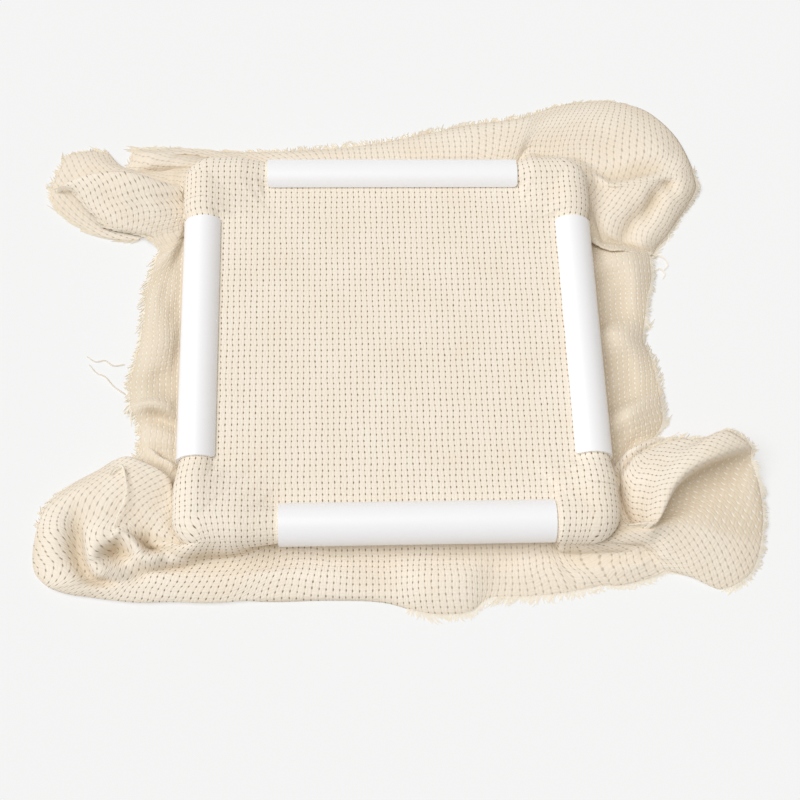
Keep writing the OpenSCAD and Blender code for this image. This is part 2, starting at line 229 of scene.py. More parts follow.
# loose cloth beside the clamps: each row is a strip's place along its side (1 at the clamp's end)
# and five points (along, out, up) of its middle line, from the tube to the hem
frontFolds = [
    [-1, [[0, 15, 0], [-1, 22, 2], [-4, 30, 6], [-8, 42, 4], [-8, 45, 0]]],
    [-0.6, [[0, 15, 0], [0, 23, 3], [-1, 32, 6], [-2, 42, 4], [-2, 45, 0]]],
    [-0.25, [[0, 15, 0], [0, 22, 1], [0, 30, 3], [0, 42, 4], [0, 47, 0]]],
    [0.09, [[0, 15, 0], [-1, 22, 2], [-2, 32, 6], [-2, 44, 5], [0, 55, 0]]],
    [0.35, [[0, 15, 0], [0, 22, 2], [1, 32, 5], [1, 44, 4], [2, 54, 0]]],
    [0.55, [[0, 15, 0], [0, 22, 0], [-1, 30, 1], [-2, 39, 1], [-4, 46, 0]]],
    [0.8, [[0, 15, 0], [0, 21, 1], [0, 29, 2], [1, 37, 1], [2, 45, 0]]],
    [1, [[0, 15, 0], [1, 21, 1], [2, 27, 2], [5, 34, 2], [8, 43, 0]]],
    [1.1, [[-25, 16, 0], [-24, 21, 1], [-22, 27, 2], [-17, 34, 2], [-14, 42, 0]]],
    [1.2, [[-23, 17, 1], [-21, 21, 1], [-18, 27, 2], [-12, 33, 3], [-9, 41, 0]]],
    [1.45, [[-16, 18, 1], [-15, 22, 1], [-11, 28, 3], [-4, 34, 3], [1, 39, 0]]],
]

rightFolds = [
    [-1, [[0, 16, 0], [5, 22, 0], [10, 30, 2], [15, 39, 3], [20, 46, 1]]],
    [1, [[-2, 16, 0], [-4, 22, 1], [-7, 32, 2], [-9, 44, 2], [-11, 54, 0]]],
]

backFolds = [
    [-1, [[0, 16, 0], [-3, 24, 3], [-8, 38, 8], [-14, 54, 7], [-17, 64, 0]]],
    [-0.65, [[0, 16, 0], [-1, 22, 2], [-2, 32, 6], [-2, 46, 6], [-2, 56, 0]]],
    [-0.31, [[0, 16, 0], [0, 21, 1], [0, 28, 4], [1, 40, 4], [1, 48, 0]]],
    [0.04, [[0, 16, 0], [0, 21, 1], [0, 26, 3], [1, 34, 3], [1, 41, 0]]],
    [0.39, [[0, 16, 0], [1, 20, 1], [2, 24, 3], [3, 30, 3], [4, 36, 0]]],
    [0.73, [[0, 16, 0], [2, 20, 1], [6, 24, 3], [12, 29, 3], [16, 33, 0]]],
    [1, [[1, 16, 0], [6, 20, 1], [14, 24, 3], [26, 29, 3], [34, 33, 0]]],
    [1.1, [[-29, 17, 1], [-24, 21, 1], [-13, 25, 3], [2, 31, 4], [12, 35, 0]]],
]

leftFolds = [
    [-1, [[0, 15, 0], [6, 19, 3], [12, 23, 6], [16, 28, 5], [18, 34, 1]]],
    [1, [[-4, 15, 0], [-5, 19, 0], [-6, 23, 0], [-6, 27, 0], [-6, 32, 0]]],
]

# the folds of the right and left sides between their ends: each row is a strip that was picked in
# the photograph, as five points (pixel across, pixel down, height above the cloth's rest)
rightPicks = [
    [(612, 456, 0), (620, 452, 1), (630, 447, 1), (642, 441, 2), (655, 436, 1)],
    [(611, 442, 1), (621, 438, 3), (633, 433, 5), (647, 428, 5), (662, 424, 2)],
    [(610, 422, 5), (619, 417, 9), (631, 411, 12), (645, 405, 10), (660, 400, 4)],
    [(608, 408, 0), (617, 404, 1), (628, 399, 2), (642, 393, 4), (659, 388, 2)],
    [(606, 389, 0), (616, 386, 1), (628, 381, 2), (641, 377, 4), (656, 374, 2)],
    [(604, 367, 1), (614, 364, 3), (625, 361, 5), (637, 359, 6), (650, 357, 2)],
    [(602, 337, 6), (612, 335, 10), (622, 335, 11), (632, 337, 9), (643, 340, 3)],
    [(601, 323, 0), (610, 318, 1), (621, 316, 2), (633, 318, 4), (645, 322, 2)],
    [(599, 302, 0), (609, 299, 1), (620, 297, 2), (634, 297, 6), (648, 297, 3)],
    [(597, 282, 1), (608, 279, 3), (620, 277, 6), (635, 277, 9), (652, 278, 3)],
    [(596, 266, 4), (607, 261, 8), (620, 258, 10), (634, 257, 10), (650, 258, 4)],
]

leftPicks = [
    [(182, 256, 0), (176, 262, 1), (169, 268, 2), (160, 274, 2), (150, 279, 1)],
    [(181, 284, 0), (174, 287, 1), (166, 291, 2), (156, 295, 4), (145, 300, 2)],
    [(180, 310, 0), (172, 312, 2), (163, 315, 5), (153, 318, 6), (143, 320, 2)],
    [(179, 342, 2), (171, 343, 7), (162, 344, 10), (150, 346, 9), (139, 348, 2)],
    [(178, 359, 1), (170, 361, 4), (160, 363, 6), (147, 365, 6), (134, 366, 2)],
    [(178, 376, 0), (169, 378, 1), (158, 379, 2), (144, 381, 4), (130, 383, 2)],
    [(178, 392, 1), (168, 394, 3), (157, 395, 5), (143, 397, 6), (130, 399, 2)],
    [(177, 413, 4), (168, 409, 9), (157, 406, 12), (144, 406, 10), (131, 410, 3)],
    [(177, 424, 0), (168, 420, 1), (157, 417, 1), (146, 417, 2), (137, 419, 1)],
    [(176, 440, 2), (168, 437, 4), (158, 435, 5), (148, 435, 4), (140, 437, 1)],
    [(176, 453, 0), (168, 453, 1), (158, 453, 1), (149, 453, 2), (141, 452, 1)],
]

# loose cloth at the corners, picked in the same way: side, place (from 2 round the elbow) and nine
# points (pixel across, pixel down, height above the table) from the elbow to the hem
cornerPicks = [
    # front left: an outer band curls round a crest that ends at a tongue
    (3, 1.35, [(176, 470, 4), (172, 467, 6), (167, 463, 7), (161, 459, 7), (156, 455, 6),
        (151, 451, 5), (147, 448, 3), (144, 445, 2), (142, 443, 1)]),
    (3, 1.7, [(172, 482, 5), (168, 478, 4), (162, 474, 3), (156, 470, 3), (151, 466, 3),
        (147, 462, 3), (144, 458, 2.5), (142, 455, 2), (140, 453, 1.5)]),
    (3, 1.9, [(170, 487, 8), (164, 480, 8), (156, 475, 8), (148, 471, 8), (140, 468, 8),
        (134, 465, 7), (128, 464, 6), (124, 465, 4), (122, 466, 3)]),
    (3, 2, [(172, 486, 14), (168, 477, 15), (160, 471, 16), (152, 467, 16), (144, 463, 15),
        (135, 459, 14), (126, 457, 12), (119, 459, 8), (114, 461, 5)]),
    (3, 2.1, [(164, 494, 15), (158, 484, 17), (150, 477, 18), (142, 472, 18), (133, 468, 17),
        (123, 465, 14), (112, 465, 10), (103, 468, 6), (99, 470, 4)]),
    (3, 2.2, [(156, 506, 15), (145, 495, 17), (132, 489, 18), (120, 484, 18), (108, 481, 16),
        (96, 480, 13), (84, 482, 9), (74, 485, 5), (70, 486, 3)]),
    (3, 2.3, [(153, 514, 15), (138, 504, 16), (122, 500, 17), (108, 498, 17), (94, 496, 15),
        (80, 495, 13), (68, 496, 10), (56, 500, 6), (50, 502, 3)]),
    (3, 2.4, [(150, 522, 14), (132, 513, 15), (115, 514, 16), (100, 517, 16), (88, 519, 13),
        (76, 518, 9), (62, 513, 11), (47, 515, 8), (42, 517, 3)]),
    (0, -2.5, [(147, 530, 12), (127, 524, 16), (110, 528, 18), (98, 533, 18), (88, 538, 14),
        (78, 534, 5), (58, 527, 12), (38, 538, 5), (35, 540, 2)]),
    (0, -2.4, [(145, 538, 8), (120, 531, 20), (110, 540, 17), (100, 546, 17), (90, 552, 17),
        (80, 548, 2), (58, 545, 11), (33, 556, 3), (41, 555, 0.8)]),
    (0, -2.3, [(146, 545, 4), (128, 535, 20), (119, 545, 9), (112, 553, 5), (94, 562, 16),
        (83, 563, 1.5), (62, 563, 10), (36, 572, 3), (44, 570, 0.8)]),
    (0, -2.2, [(149, 549, 2), (137, 546, 18), (126, 553, 7), (116, 555, 4), (103, 570, 15),
        (90, 577, 2), (70, 579, 9), (46, 584, 3), (54, 581, 0.8)]),
    (0, -2.12, [(158, 551, 8), (144, 556, 17), (134, 561, 11), (124, 565, 9), (112, 575, 13),
        (101, 582, 3), (82, 588, 8), (64, 593, 3), (72, 589, 0.8)]),
    (0, -2.06, [(165, 553, 12), (156, 560, 16), (149, 568, 8), (141, 574, 5), (130, 580, 6),
        (118, 586, 7), (106, 592, 7), (90, 597, 3), (98, 593, 0.8)]),
    (0, -2, [(172, 560, 12), (167, 565, 7), (160, 569, 4), (152, 576, 6), (144, 583, 7),
        (136, 590, 7), (129, 596, 6), (122, 601, 3), (128, 597, 0.8)]),
    (0, -1.6, [(208, 560, 4), (205, 565, 3), (201, 569, 4), (196, 575, 6), (190, 582, 7),
        (184, 589, 7), (179, 595, 6), (174, 602, 3), (179, 598, 0.8)]),
    (0, -1.2, [(238, 556, 4), (236, 561, 2.5), (233, 566, 3.5), (229, 572, 5.5), (225, 579, 7),
        (221, 586, 7), (218, 593, 6), (214, 602, 3), (217, 598, 0.8)]),
    # front right: a cone stands up beside the elbow and opens to a wide ear
    (0, 1.7, [(606, 553, 4), (608, 556, 3), (610, 562, 4), (612, 566, 5), (615, 571, 5),
        (617, 575, 4), (620, 579, 3), (622, 582, 2), (623, 584, 1)]),
    (0, 2, [(633, 551, 5), (635, 555, 4), (638, 560, 4), (641, 564, 5), (645, 568, 4),
        (648, 571, 3), (651, 574, 2), (653, 574, 1.5), (655, 576, 1)]),
    (0, 2.15, [(640, 546, 6), (644, 549, 4), (648, 553, 3), (652, 557, 3), (656, 561, 3),
        (660, 565, 3), (663, 568, 2), (666, 570, 1.5), (668, 571, 1)]),
    (0, 2.25, [(644, 544, 8), (650, 547, 7), (657, 551, 7), (664, 556, 7), (671, 562, 6),
        (679, 568, 5), (686, 573, 3.5), (692, 577, 2), (697, 579, 1)]),
    (0, 2.35, [(647, 541, 11), (655, 543, 10), (665, 547, 10), (675, 553, 9), (686, 561, 8),
        (697, 570, 6), (707, 578, 4), (715, 585, 2), (721, 589, 1)]),
    (0, 2.45, [(650, 537, 14), (660, 536, 13), (673, 538, 12), (687, 544, 11), (702, 550, 10),
        (718, 558, 8), (732, 566, 6), (742, 572, 4), (749, 576, 2)]),
    (1, -2.45, [(653, 531, 18), (663, 525, 16), (677, 522, 14), (692, 522, 13), (708, 524, 12),
        (725, 527, 10), (742, 530, 8), (755, 532, 6), (763, 533, 4)]),
    (1, -2.38, [(655, 526, 18), (664, 516, 12), (677, 508, 9), (692, 501, 8), (708, 497, 8),
        (723, 494, 8), (738, 492, 8), (751, 491, 8), (760, 490, 6)]),
    (1, -2.32, [(655, 522, 21), (662, 508, 16), (670, 497, 11), (682, 487, 9), (697, 478, 8),
        (713, 471, 8), (729, 466, 9), (743, 463, 11), (753, 461, 13)]),
    (1, -2.26, [(656, 524, 23), (661, 513, 27), (666, 501, 29), (672, 488, 31), (682, 474, 33),
        (697, 463, 34), (714, 453, 34), (730, 445, 31), (744, 440, 27)]),
    (1, -2.2, [(651, 527, 20), (655, 514, 24), (659, 502, 27), (664, 489, 29), (673, 474, 31),
        (686, 461, 33), (702, 449, 33), (716, 438, 31), (729, 430, 28)]),
    (1, -2.14, [(646, 530, 15), (647, 516, 19), (650, 503, 22), (654, 489, 25), (661, 475, 27),
        (670, 463, 28), (681, 452, 29), (693, 444, 27), (702, 439, 25)]),
    (1, -2.08, [(641, 530, 10), (639, 517, 13), (640, 503, 16), (643, 489, 19), (648, 476, 22),
        (655, 465, 23), (663, 455, 23), (670, 447, 22), (677, 439, 20)]),
    (1, -2, [(636, 527, 6), (632, 515, 8), (630, 502, 11), (631, 490, 14), (634, 478, 17),
        (639, 468, 18), (644, 460, 18), (649, 453, 17), (653, 448, 15)]),
    (1, -1.7, [(629, 517, 4), (625, 506, 5), (623, 495, 7), (622, 485, 10), (623, 477, 12),
        (626, 470, 13), (629, 465, 13), (632, 461, 13), (634, 457, 12)]),
    (1, -1.4, [(622, 495, 3), (620, 487, 3), (620, 480, 4), (622, 474, 5), (625, 469, 5),
        (629, 464, 5), (634, 459, 4), (640, 455, 3), (645, 452, 2)]),
    (1, -1.2, [(616, 470, 3), (618, 464, 4), (622, 458, 6), (628, 452, 8), (636, 447, 9),
        (644, 444, 8), (651, 442, 6), (656, 441, 4), (661, 440, 2)]),
    # back right: a broad lobe folds over an inner hollow
    (1, 1.15, [(601, 247, 8), (606, 249, 10), (612, 250, 11), (618, 250, 11), (624, 251, 11),
        (631, 252, 10), (637, 253, 9), (642, 255, 7), (645, 258, 4)]),
    (1, 1.3, [(601, 240, 4), (607, 242, 4), (613, 243, 3), (620, 244, 3), (627, 246, 3),
        (634, 249, 3), (641, 252, 3), (647, 254, 2), (652, 256, 1)]),
    (1, 1.6, [(598, 228, 5), (603, 231, 6), (609, 235, 6), (616, 238, 5), (624, 241, 3),
        (632, 242, 5), (641, 244, 7), (650, 246, 5), (657, 248, 1)]),
    (1, 2, [(597, 213, 8), (604, 216, 9), (612, 220, 9), (621, 224, 7), (630, 226, 4),
        (641, 228, 7), (652, 231, 9), (661, 234, 6), (668, 236, 2)]),
    (1, 2.1, [(597, 202, 9), (606, 204, 10), (616, 206, 11), (627, 208, 11), (639, 210, 8),
        (648, 211, 5), (660, 214, 10), (671, 217, 8), (679, 218, 2)]),
    (1, 2.2, [(597, 194, 9), (607, 194, 10), (618, 195, 12), (630, 196, 13), (643, 197, 13),
        (655, 198, 7), (668, 200, 12), (680, 202, 9), (689, 204, 3)]),
    (1, 2.3, [(597, 186, 8), (607, 188, 10), (617, 188, 12), (630, 186, 14), (644, 184, 15),
        (657, 184, 13), (668, 184, 9), (682, 184, 13), (696, 186, 5)]),
    (1, 2.38, [(596, 179, 8), (604, 183, 11), (614, 186, 13), (626, 184, 14), (640, 181, 15),
        (654, 180, 15), (666, 179, 13), (681, 174, 13), (694, 175, 5)]),
    (1, 2.44, [(595, 172, 5), (603, 176, 4), (613, 179, 4), (626, 177, 5), (640, 173, 6),
        (654, 170, 8), (667, 166, 10), (680, 163, 9), (690, 163, 3)]),
    (2, -2.45, [(592, 167, 5), (600, 167, 5), (611, 166, 6), (624, 163, 8), (638, 159, 10),
        (652, 156, 11), (665, 152, 11), (675, 149, 7), (682, 147, 2.5)]),
    (2, -2.35, [(586, 162, 5), (593, 158, 6), (603, 154, 7), (615, 149, 9), (628, 144, 11),
        (640, 139, 12), (652, 134, 11), (662, 131, 7), (669, 129, 2.5)]),
    (2, -2.2, [(577, 158, 5), (582, 151, 6), (589, 144, 8), (598, 136, 10), (608, 129, 12),
        (618, 122, 12), (628, 116, 10), (637, 112, 6), (643, 110, 2.5)]),
    (2, -2, [(563, 156, 5), (566, 149, 6), (571, 141, 8), (577, 133, 10), (584, 125, 11),
        (592, 117, 11), (601, 110, 9), (609, 105, 5), (615, 102, 2)]),
    (2, -1.6, [(545, 155, 4), (547, 149, 5), (550, 142, 7), (554, 135, 9), (559, 128, 10),
        (565, 121, 10), (572, 114, 8), (578, 108, 4), (583, 103, 1.5)]),
    (2, -1.2, [(525, 155, 4), (526, 150, 4), (528, 145, 6), (531, 139, 8), (535, 132, 9),
        (540, 126, 9), (545, 119, 7), (550, 113, 4), (554, 107, 1.5)]),
    # back left: a hood lies over a flat lower leaf
    (2, 1.5, [(184, 156, 6), (179, 155, 7), (174, 154, 8), (170, 153, 8), (166, 153, 7),
        (162, 152, 6), (158, 152, 5), (155, 151, 3), (152, 150, 2)]),
    (2, 1.9, [(175, 160, 8), (168, 159, 9), (161, 158, 9), (155, 157, 9), (149, 155, 8),
        (144, 155, 7), (140, 154, 5), (136, 153, 3), (133, 152, 2)]),
    (2, 2.05, [(173, 165, 8), (166, 165, 8), (158, 165, 8), (151, 165, 8), (145, 164, 7),
        (141, 164, 6), (137, 163, 5), (134, 163, 4), (132, 162, 2)]),
    (2, 2.15, [(171, 169, 5), (163, 170, 4), (155, 170, 4), (147, 171, 4), (140, 171, 4),
        (135, 171, 4), (130, 171, 3), (126, 171, 3), (121, 172, 2)]),
    (2, 2.22, [(169, 172, 4), (158, 173, 4), (147, 173, 4), (136, 172, 5), (126, 169, 5),
        (119, 166, 5), (114, 162, 4), (111, 158, 3), (109, 154, 2)]),
    (2, 2.3, [(168, 175, 4), (155, 176, 4), (140, 175, 5), (125, 172, 6), (112, 168, 7),
        (102, 163, 7), (95, 159, 6), (89, 155, 4), (84, 152, 2)]),
    (2, 2.38, [(168, 178, 4), (152, 179, 4), (135, 179, 5), (118, 177, 6), (103, 173, 7),
        (91, 168, 7), (81, 163, 6), (73, 159, 4), (67, 156, 2)]),
    (2, 2.46, [(168, 181, 4), (150, 183, 4), (132, 184, 4), (114, 183, 5), (98, 181, 6),
        (84, 178, 6), (73, 175, 5), (65, 172, 4), (60, 170, 2)]),
    (3, -2.5, [(169, 185, 4), (150, 190, 3), (130, 194, 3), (111, 196, 3), (94, 197, 3),
        (79, 196, 3), (67, 193, 3), (58, 191, 3), (51, 190, 2)]),
    (3, -2.44, [(170, 190, 3), (153, 198, 2.5), (136, 205, 2), (119, 210, 2), (104, 213, 2),
        (89, 213, 2.5), (76, 212, 2.5), (65, 210, 2), (57, 208, 1.5)]),
    (3, -2.38, [(172, 196, 3), (158, 207, 2), (145, 215, 2), (132, 222, 2), (119, 226, 2),
        (107, 228, 2.5), (95, 228, 2.5), (85, 226, 2), (76, 224, 1.5)]),
    (3, -2.32, [(174, 201, 3), (164, 211, 2), (155, 219, 2), (146, 226, 2), (137, 230, 2),
        (128, 233, 2.5), (119, 236, 2.5), (111, 237, 2), (104, 237, 1.5)]),
    (3, -2.27, [(176, 205, 3), (170, 212, 2), (164, 219, 2), (159, 225, 2), (154, 230, 2),
        (149, 234, 2.5), (144, 237, 2.5), (140, 239, 2), (136, 240, 1.5)]),
    (3, -2.22, [(177, 196, 8), (165, 196, 10), (150, 196, 12), (135, 196, 13), (120, 195, 13),
        (106, 194, 12), (93, 193, 11), (82, 192, 10), (73, 191, 9)]),
    (3, -2.18, [(178, 187, 15), (163, 182, 20), (147, 177, 24), (131, 173, 26), (114, 171, 26),
        (98, 173, 24), (84, 177, 20), (71, 182, 15), (60, 187, 10)]),
    (3, -2.12, [(180, 193, 16), (164, 189, 21), (148, 186, 24), (132, 184, 25), (116, 183, 24),
        (101, 184, 21), (89, 187, 17), (80, 190, 13), (73, 191, 10)]),
    (3, -2.06, [(181, 200, 14), (166, 198, 18), (151, 197, 21), (137, 196, 21), (123, 197, 20),
        (110, 198, 17), (99, 201, 14), (91, 204, 11), (84, 203, 8)]),
    (3, -2, [(183, 208, 12), (170, 208, 15), (157, 208, 17), (145, 207, 17), (133, 210, 16),
        (121, 212, 14), (111, 215, 12), (103, 218, 9), (96, 216, 7)]),
    (3, -1.8, [(184, 215, 10), (174, 216, 12), (164, 218, 13), (154, 219, 13), (145, 221, 12),
        (136, 223, 11), (127, 226, 10), (119, 228, 8), (111, 227, 7)]),
    (3, -1.5, [(185, 221, 8), (178, 223, 9), (171, 225, 10), (164, 227, 10), (157, 228, 9),
        (150, 230, 9), (143, 232, 8), (136, 233, 7), (129, 232, 6)]),
    (3, -1.3, [(185, 226, 6), (181, 229, 7), (176, 231, 7), (172, 233, 7), (167, 234, 7),
        (162, 236, 6), (157, 237, 6), (152, 237, 5), (147, 236, 5)]),
    (3, -1.2, [(185, 232, 4), (182, 236, 4), (179, 240, 4), (176, 243, 4), (173, 246, 4),
        (169, 248, 4), (165, 250, 3), (162, 251, 2), (159, 251, 1.5)]),
]

# smoothHems are strips whose edge shows no fringe, leaveTurns the turns at which a strip leaves its
# elbow early, and nearest the least way out from the tube's axis of a picked side point. panelSlope
# sets the slope at the panel's edge by a point inside it: how far in, and the share of the lift by
# which it is lower. light gives the table's light painted in the holes at places round the frame, one
# unit per side, and lightRings how many rings after the wrap it starts and over how many it grows;
# lightShade is how much painted shade that light adds to the loose cloth. The hollow values set the
# painted shade laid in the cloth's hollows: the depth below the surroundings for full shade, a head
# start to that depth, and how many passes make the surroundings' mean
cloth = {
    "corners": [(-216, -218), (220, -216), (219, 228), (-214, 214)],
    "thickness": 0.95,
    "hemThickness": 0.3,
    "wrapRadius": 11.35,
    "overRadius": 14.75,
    "restHeight": 0.6,
    "wrapTurn": (55, -152),
    "overTurn": (12, -107),
    "leaveTurns": {(0, -2.3): -85, (0, -2.2): -70, (0, -2.12): -62, (0, -2.06): -58, (0, -2): -55,
                   (0, -1.6): -60, (0, -1.2): -75},
    "frontFrayedFrom": 0.0,
    "smoothHems": [(3, 1.9), (1, 2.44), (2, -2.45), (2, -2.35), (2, -2.2), (3, -2.22)],
    "nearest": 14,
    "endRoom": 0.39,
    "cornerLift": 3.5,
    "fanPower": 2.2,
    "panelSlope": (8, 0.3),
    "innerRings": (0.74, 0.8, 0.87, 0.92, 0.965),
    "bowlFrom": 0.8,
    "riseSteps": 3,
    "wrapSteps": 12,
    "turnSteps": 4,
    "freeSteps": 36,
    "fineSteps": 200,
    "columnStep": 2.8,
    "hollowDepth": 3.0,
    "hollowStart": 0.4,
    "hollowReach": 14,
    "light": [(0, 0.28), (0.1, 0.25), (0.2, 0.05), (0.5, 0.1), (0.56, 0.45), (0.9, 0.48), (1.03, 0.5),
              (1.08, 0.95), (1.115, 1), (1.135, 0.25), (1.32, 0.25), (1.34, 1), (1.7, 0.95),
              (1.85, 0.5), (2.3, 0.45), (2.8, 0.6), (3.1, 0.6), (3.14, 0.2), (3.2, 0.4), (3.35, 1),
              (3.72, 0.9), (3.85, 0.5), (3.95, 0.3), (4, 0.28)],
    "lightRings": (8, 5),
    "lightShade": 0.7,
    "pitch": (3.84, 4.0),
}
sideFolds = [frontFolds, rightFolds, backFolds, leftFolds]
sidePicks = [[], rightPicks, [], leftPicks]
sideTurns = [(1, 0), (0, 1), (-1, 0), (0, -1)]

# places along a side: 1 is the clamp's end, then come the elbow's edge, the start of its bend and
# the corner; the side's other half has the same places below 0
placeOf = {"elbow": 1.2, "bend": 2.0, "corner": 2.5}

# what pushes the cloth out: the room along a tube at the elbow's edge and at the clamp's end, the
# clamp's turns about the tube, and the radii between which cloth is moved outside a clamp
keepOut = {
    "elbowRoom": 0.5,
    "clampRoom": 0.6,
    "clampTurn": (-147, 57),
    "clampRadius": (12.6, 14.6),
}


# turns a point of the front side's own axes to another side's
def fromSide(side, p):
    c, k = sideTurns[side]
    x, y = p[0], -layout["halfAxis"] - p[1]
    return [x * c - y * k, x * k + y * c, p[2]]


def toSide(side, p):
    c, k = sideTurns[side]
    return np.array([p[0] * c + p[1] * k, -layout["halfAxis"] + p[0] * k - p[1] * c, p[2]])


def mix(a, b, f):
    return a + (b - a) * f


def placeRise(t):
    return min(max((abs(t) - 1) / (placeOf["elbow"] - 1), 0), 1)


def placeBend(t):
    share = max(abs(t) - placeOf["bend"], 0) / (placeOf["corner"] - placeOf["bend"])
    return math.radians(45 * share)


# distance along the side of a strip where it leaves the tube
def placeAlong(side, t, s):
    g = -1 if t < 0 else 1
    half = layout["clampLength"] / 2 + s["endRoom"]
    end = layout["clampShift"][side] + g * half
    edge = g * (layout["halfAxis"] - layout["elbowLeg"] - s["endRoom"])
    bend = g * (layout["halfAxis"] - layout["bendRadius"])
    if abs(t) <= 1:
        return layout["clampShift"][side] + t * half
    if abs(t) <= placeOf["elbow"]:
        return mix(end, edge, placeRise(t))
    if abs(t) <= placeOf["bend"]:
        return mix(edge, bend, (abs(t) - placeOf["elbow"]) / (placeOf["bend"] - placeOf["elbow"]))
    return bend + g * layout["bendRadius"] * math.sin(placeBend(t))


# point on a round of radius r about the tube's axis, or about the elbow's bent axis
def roundPoint(side, t, r, turn, s):
    g = -1 if t < 0 else 1
    b, a = placeBend(t), math.radians(turn)
    o = -r * math.sin(a)
    return np.array([
        placeAlong(side, t, s) + g * o * math.sin(b),
        o * math.cos(b) - layout["bendRadius"] * (1 - math.cos(b)),
        layout["axisHeight"] + r * math.cos(a),
    ])


# Catmull-Rom curve through p[1] to p[-2] at the places q, one unit of q per point
def curveAt(p, q):
    p = np.array(p, float)
    i = np.minimum(q.astype(int), len(p) - 4)
    t = (q - i)[:, None]
    a, b, c, d = p[i], p[i + 1], p[i + 2], p[i + 3]
    return 0.5 * (2 * b + (c - a) * t + (2 * a - 5 * b + 4 * c - d) * t ** 2
                  + (3 * b - a - 3 * c + d) * t ** 3)


# a picked strip of a side: its place is its first point's, and its points (along, out, up) start
# from there, in whole millimetres and clear of the tube
def sideStrip(side, picks, s):
    points = [toSide(side, p) for p in fromPixels(picks, s["restHeight"], cameraView)]
    half, shift = layout["clampLength"] / 2 + s["endRoom"], layout["clampShift"][side]
    t = round(float(np.clip((points[0][0] - shift) / half, -1, 1)), 2)
    start = shift + t * half
    row = []
    for i, (p, pick) in enumerate(zip(points, picks)):
        nearest = s["nearest"] + (i == 0)
        row.append([round(float(p[0] - start)), max(round(float(p[1])), nearest), pick[2]])
    return side, t, row


# a picked strip of a corner as points (x, y, height), in whole millimetres
def cornerStrip(side, t, picks):
    points = np.round(fromPixels(picks, 0, cameraView))
    points[:, 2] = [height for across, down, height in picks]
    return side, t, points


# one strip: the panel's edge, up to the tube or elbow and round it, a half circle down to the
# table, then the folds. A side's strip has even steps, a corner's follows its nine points
def strip(side, t, points, s):
    g = -1 if t < 0 else 1
    f = placeRise(t)
    corner = len(points) == 9
    if corner:
        free = [toSide(side, p) for p in points]
    else:
        ref = placeAlong(side, t, s) if abs(t) <= 1 else g * layout["halfAxis"]
        free = [np.array([ref + p[0], p[1], s["restHeight"] + p[2]]) for p in points]
    r = mix(s["wrapRadius"], s["overRadius"], f)
    first = mix(s["wrapTurn"][0], s["overTurn"][0], f)
    last = mix(s["wrapTurn"][1], s["leaveTurns"].get((side, t), s["overTurn"][1]), f)
    n = s["wrapSteps"]
    near = [roundPoint(side, t, r, mix(first, last, i / n), s) for i in range(n + 1)]
    past = 1 - (1 - max(abs(t) - 1, 0) / (placeOf["corner"] - 1)) ** s["fanPower"]
    top = mix(placeAlong(side, min(max(t, -1), 1), s), g * layout["panelHalf"], past)
    lift = s["cornerLift"] * past * past * (3 - 2 * past)
    start = np.array([top, layout["panelHalf"] - layout["halfAxis"], layout["panelHeight"] + lift])
    inside = start - np.array([0, s["panelSlope"][0], s["panelSlope"][1] * lift])
    n = s["riseSteps"]
    rise = curveAt([inside, start, near[0], near[1]], np.arange(n + 1) / (n + 1))
    low = near[-1]
    drop = (low[2] - s["restHeight"]) / 2
    n = s["turnSteps"]
    for i in range(1, n + 1):
        c = math.pi * i / n
        turned = low - np.array([0, drop * math.sin(c), drop * (1 - math.cos(c))])
        near.append(mix(turned, mix(low, free[0], i / (n + 1)), f))
    line = [near[-2], near[-1]] + free + [2 * free[-1] - free[-2]]
    if corner:
        places = np.arange(1, s["freeSteps"] + 1) * len(free) / s["freeSteps"]
    else:
        fine = np.linspace(0, len(free), s["fineSteps"])
        far = np.linalg.norm(np.diff(curveAt(line, fine), axis=0), axis=1)
        far = np.append(0, np.cumsum(far)) / far.sum()
        places = np.interp(np.arange(1, s["freeSteps"] + 1) / s["freeSteps"], far, fine)
    tail = curveAt(line, places)
    return np.array([fromSide(side, p) for p in [*rise, *near, *tail]])


# all strips in order round the frame: places, whether the hem is frayed, and points
def layStrips(s):
    rows = [(side, t, points) for side in range(4) for t, points in sideFolds[side]]
    rows += [sideStrip(side, picks, s) for side in range(4) for picks in sidePicks[side]]
    rows += [cornerStrip(*row) for row in cornerPicks]
    rows.sort(key=lambda row: row[0] * 10 + row[1])
    places = [row[:2] for row in rows]
    folded = [side == 0 and t < s["frontFrayedFrom"] or (side, t) in s["smoothHems"]
              for side, t in places]
    strips = [strip(side, t, points, s) for side, t, points in rows]
    return places, 1 - np.array(folded, float), np.array(strips)


# smooth surface through the strips: a cubic Hermite curve across each gap, its slopes the mean of
# the two gaps' slopes, each weighed by the other gap's width. On the straight tubes and elbow legs
# the slopes keep only their part along the side
def joinStrips(strips, places, frayedThere, s):
    first = 1 + s["riseSteps"] + s["wrapSteps"]
    after = np.roll(strips, -1, 0)
    gaps = np.linalg.norm(after - strips, axis=2)
    wide = gaps[:, first:].mean(1)[:, None, None] + 1e-6
    slope = (after - strips) / wide
    wideBefore, slopeBefore = np.roll(wide, 1, 0), np.roll(slope, 1, 0)
    lean = (slope * wideBefore + slopeBefore * wide) / (wide + wideBefore)
    for i, (side, t) in enumerate(places):
        if abs(t) <= placeOf["bend"]:
            lean[i, :first, 1 - side % 2] = 0
            lean[i, :first, 2] = 0
    columns, fray, own = [], [], []
    for i in range(len(strips)):
        j = (i + 1) % len(strips)
        n = max(2, round(gaps[i].max() / s["columnStep"]))
        own.append(len(columns))
        for t in np.arange(n) / n:
            a, b = 2 * t ** 3 - 3 * t ** 2 + 1, t ** 3 - 2 * t ** 2 + t
            columns.append(a * strips[i] + (1 - a) * strips[j]
                           + wide[i] * (b * lean[i] + (t ** 3 - t ** 2) * lean[j]))
            fray.append(mix(frayedThere[i], frayedThere[j], t))
    return np.array(columns), np.array(fray), own


